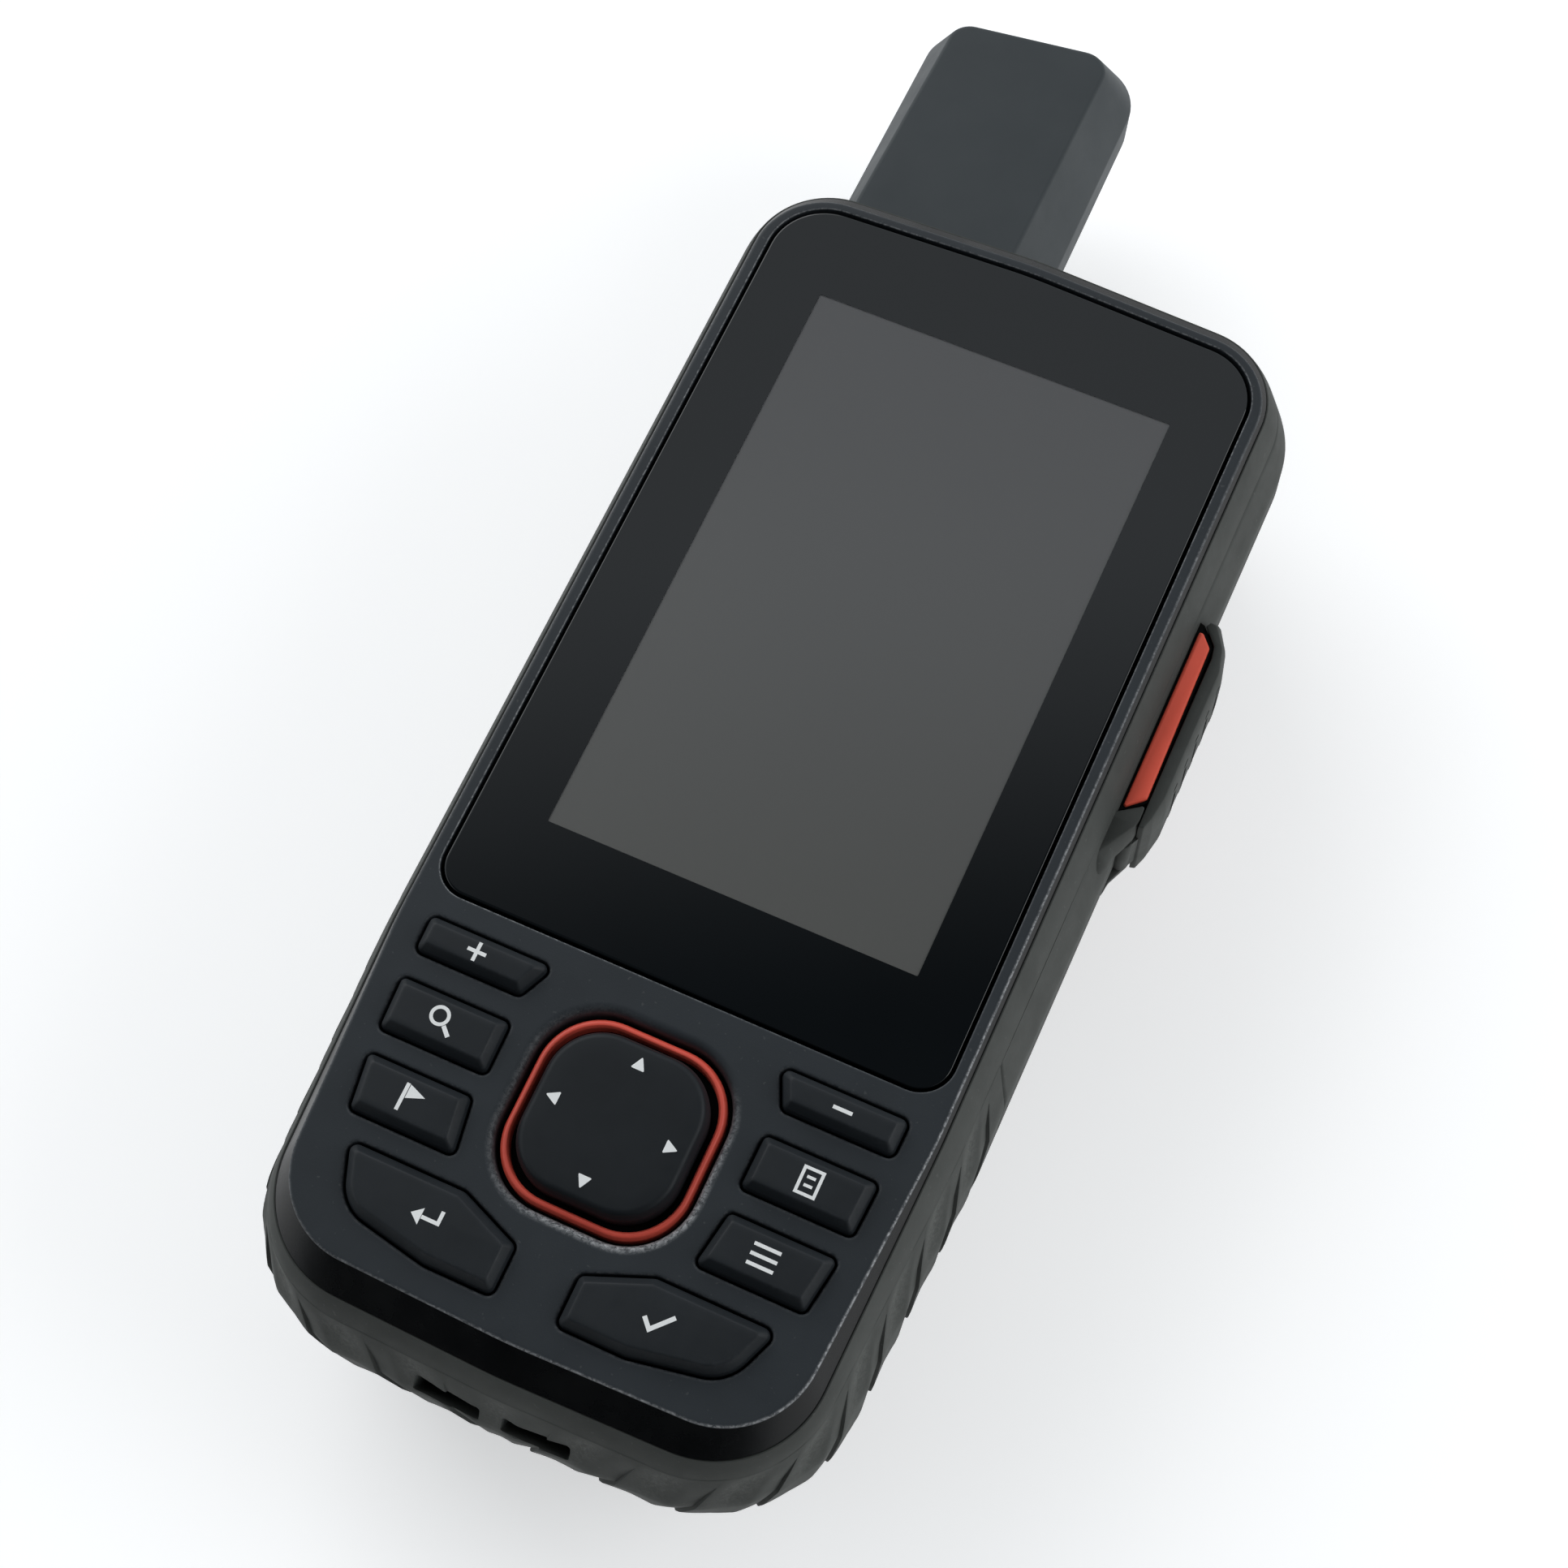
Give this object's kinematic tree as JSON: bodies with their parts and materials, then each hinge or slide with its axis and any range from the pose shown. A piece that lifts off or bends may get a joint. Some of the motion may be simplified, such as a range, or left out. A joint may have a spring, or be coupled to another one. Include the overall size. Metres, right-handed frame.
{
  "type": "handheld satellite navigator",
  "caption": "Rugged handheld satellite navigator with a stub aerial, a tall display, push keys, a four-way pad, a guarded emergency button and a rear rail for clips and cradles.",
  "frame": {"origin": "flat rear face of the mounting spine, on the centre plane, level with the middle of the display", "axes": "+X to the right as the display is read, +Y towards the aerial, +Z out of the display"},
  "size_m": [0.0647, 0.1623, 0.035],
  "materials": {
    "aerial_board": "circuit board",
    "aerial_cover": "fine textured plastic",
    "aerial_lead": "thin jacketed coaxial lead",
    "aerial_seal": "soft gasket",
    "backlight_tray": "pressed steel",
    "battery_connector": "natural nylon",
    "battery_foam": "foam",
    "battery_pack": "film wrapped cell",
    "buzzer_disc": "brass disc",
    "card_cap": "matt rubber",
    "card_socket": "steel shell",
    "ceramic_patch": "unglazed ceramic",
    "display_lens": "hard coated window",
    "four_way_pad": "matt black",
    "front_housing": "satin moulded plastic",
    "grip_bumper": "matt rubber with shallow saw-tooth ribs",
    "helix_element": "copper strips on a cylinder",
    "housing_screw_1": "zinc plated",
    "housing_screw_2": "zinc plated",
    "housing_screw_3": "zinc plated",
    "housing_screw_4": "zinc plated",
    "housing_screw_5": "zinc plated",
    "housing_seal": "soft gasket",
    "key_enter": "matt black with a light printed sign",
    "key_find": "matt black with a light printed sign",
    "key_mark": "matt black with a light printed sign",
    "key_menu": "matt black with a light printed sign",
    "key_page": "matt black with a light printed sign",
    "key_quit": "matt black with a light printed sign",
    "key_zoom_in": "matt black with a light printed sign",
    "key_zoom_out": "matt black with a light printed sign",
    "keypad_membrane": "silicone sheet",
    "lamp_led": "emitter",
    "lamp_lens": "clear lens",
    "lcd_panel": "unlit display",
    "lens_adhesive": "foam tape",
    "main_board": "circuit board",
    "mounting_spine": "glass filled plastic",
    "pad_pivot_plate": "natural acetal",
    "pad_ring": "satin red",
    "port_cap": "matt rubber",
    "power_button": "matt rubber",
    "power_switch": "tact switch",
    "processor_chip": "moulded chip",
    "radio_shield": "tinned steel can",
    "rear_housing": "fine textured plastic",
    "satellite_modem": "shielded module",
    "side_overmould": "matt rubber",
    "sos_button": "satin red",
    "sos_flap": "matt rubber",
    "sos_frame": "satin red",
    "sos_hinge_pin": "drawn steel",
    "sos_switch": "tact switch",
    "spine_screw_1": "zinc plated",
    "spine_screw_2": "zinc plated",
    "switch_board": "circuit board with domes",
    "usb_port": "steel shell"
  },
  "bodies": {
    "chassis": {"aerial_board": "aerial_board", "aerial_cover": "aerial_cover", "aerial_lead": "aerial_lead", "aerial_seal": "aerial_seal", "backlight_tray": "backlight_tray", "battery_connector": "battery_connector", "battery_foam": "battery_foam", "battery_pack": "battery_pack", "buzzer_disc": "buzzer_disc", "card_socket": "card_socket", "ceramic_patch": "ceramic_patch", "display_lens": "display_lens", "front_housing": "front_housing", "grip_bumper": "grip_bumper", "helix_element": "helix_element", "housing_screw_1": "housing_screw_1", "housing_screw_2": "housing_screw_2", "housing_screw_3": "housing_screw_3", "housing_screw_4": "housing_screw_4", "housing_screw_5": "housing_screw_5", "housing_seal": "housing_seal", "keypad_membrane": "keypad_membrane", "lamp_led": "lamp_led", "lamp_lens": "lamp_lens", "lcd_panel": "lcd_panel", "lens_adhesive": "lens_adhesive", "main_board": "main_board", "mounting_spine": "mounting_spine", "pad_ring": "pad_ring", "power_switch": "power_switch", "processor_chip": "processor_chip", "radio_shield": "radio_shield", "rear_housing": "rear_housing", "satellite_modem": "satellite_modem", "side_overmould": "side_overmould", "sos_frame": "sos_frame", "sos_hinge_pin": "sos_hinge_pin", "sos_switch": "sos_switch", "spine_screw_1": "spine_screw_1", "spine_screw_2": "spine_screw_2", "switch_board": "switch_board", "usb_port": "usb_port"},
    "key_zoom_in_body": {"key_zoom_in": "key_zoom_in"},
    "key_zoom_out_body": {"key_zoom_out": "key_zoom_out"},
    "key_find_body": {"key_find": "key_find"},
    "key_page_body": {"key_page": "key_page"},
    "key_mark_body": {"key_mark": "key_mark"},
    "key_menu_body": {"key_menu": "key_menu"},
    "key_quit_body": {"key_quit": "key_quit"},
    "key_enter_body": {"key_enter": "key_enter"},
    "pad_pivot": {"pad_pivot_plate": "pad_pivot_plate"},
    "pad": {"four_way_pad": "four_way_pad"},
    "power_button_body": {"power_button": "power_button"},
    "sos_button_body": {"sos_button": "sos_button"},
    "sos_flap_body": {"sos_flap": "sos_flap"},
    "port_cap_body": {"port_cap": "port_cap"},
    "card_cap_body": {"card_cap": "card_cap"}
  },
  "joints": [
    {"name": "key_zoom_in_press", "type": "slide", "parent": "chassis", "child": "key_zoom_in_body", "axis": [0, 0, -1], "range_m": [0, 0.0006], "stiffness_N_per_m": 1000, "springref_m": -0.0003},
    {"name": "key_zoom_out_press", "type": "slide", "parent": "chassis", "child": "key_zoom_out_body", "axis": [0, 0, -1], "range_m": [0, 0.0006], "stiffness_N_per_m": 1000, "springref_m": -0.0003},
    {"name": "key_find_press", "type": "slide", "parent": "chassis", "child": "key_find_body", "axis": [0, 0, -1], "range_m": [0, 0.0006], "stiffness_N_per_m": 1000, "springref_m": -0.0003},
    {"name": "key_page_press", "type": "slide", "parent": "chassis", "child": "key_page_body", "axis": [0, 0, -1], "range_m": [0, 0.0006], "stiffness_N_per_m": 1000, "springref_m": -0.0003},
    {"name": "key_mark_press", "type": "slide", "parent": "chassis", "child": "key_mark_body", "axis": [0, 0, -1], "range_m": [0, 0.0006], "stiffness_N_per_m": 1000, "springref_m": -0.0003},
    {"name": "key_menu_press", "type": "slide", "parent": "chassis", "child": "key_menu_body", "axis": [0, 0, -1], "range_m": [0, 0.0006], "stiffness_N_per_m": 1000, "springref_m": -0.0003},
    {"name": "key_quit_press", "type": "slide", "parent": "chassis", "child": "key_quit_body", "axis": [0, 0, -1], "range_m": [0, 0.0006], "stiffness_N_per_m": 1000, "springref_m": -0.0003},
    {"name": "key_enter_press", "type": "slide", "parent": "chassis", "child": "key_enter_body", "axis": [0, 0, -1], "range_m": [0, 0.0006], "stiffness_N_per_m": 1000, "springref_m": -0.0003},
    {"name": "pad_tilt_fore_aft", "type": "hinge", "parent": "chassis", "child": "pad_pivot", "pos_m": [0, -0.0563, 0.0301], "axis": [1, 0, 0], "range_deg": [-3, 3], "stiffness_Nm_per_rad": 0.2},
    {"name": "pad_tilt_side", "type": "hinge", "parent": "pad_pivot", "child": "pad", "pos_m": [0, -0.0563, 0.0301], "axis": [0, 1, 0], "range_deg": [-3, 3], "stiffness_Nm_per_rad": 0.2},
    {"name": "power_button_press", "type": "slide", "parent": "chassis", "child": "power_button_body", "axis": [0, -1, 0], "range_m": [0, 0.0006], "stiffness_N_per_m": 1000, "springref_m": -0.0003},
    {"name": "sos_button_press", "type": "slide", "parent": "chassis", "child": "sos_button_body", "axis": [-1, 0, 0], "range_m": [0, 0.0008], "stiffness_N_per_m": 1200, "springref_m": -0.0003},
    {"name": "sos_flap_hinge", "type": "hinge", "parent": "chassis", "child": "sos_flap_body", "pos_m": [0.0312, -0.0092, 0.0222], "axis": [0, 0, -1], "range_deg": [0, 100]},
    {"name": "port_cap_hinge", "type": "hinge", "parent": "chassis", "child": "port_cap_body", "pos_m": [0.0155, 0.0193, 0.0039], "axis": [-1, 0, 0], "range_deg": [0, 100]},
    {"name": "card_cap_hinge", "type": "hinge", "parent": "chassis", "child": "card_cap_body", "pos_m": [-0.0155, 0.0193, 0.0039], "axis": [-1, 0, 0], "range_deg": [0, 100]}
  ]
}
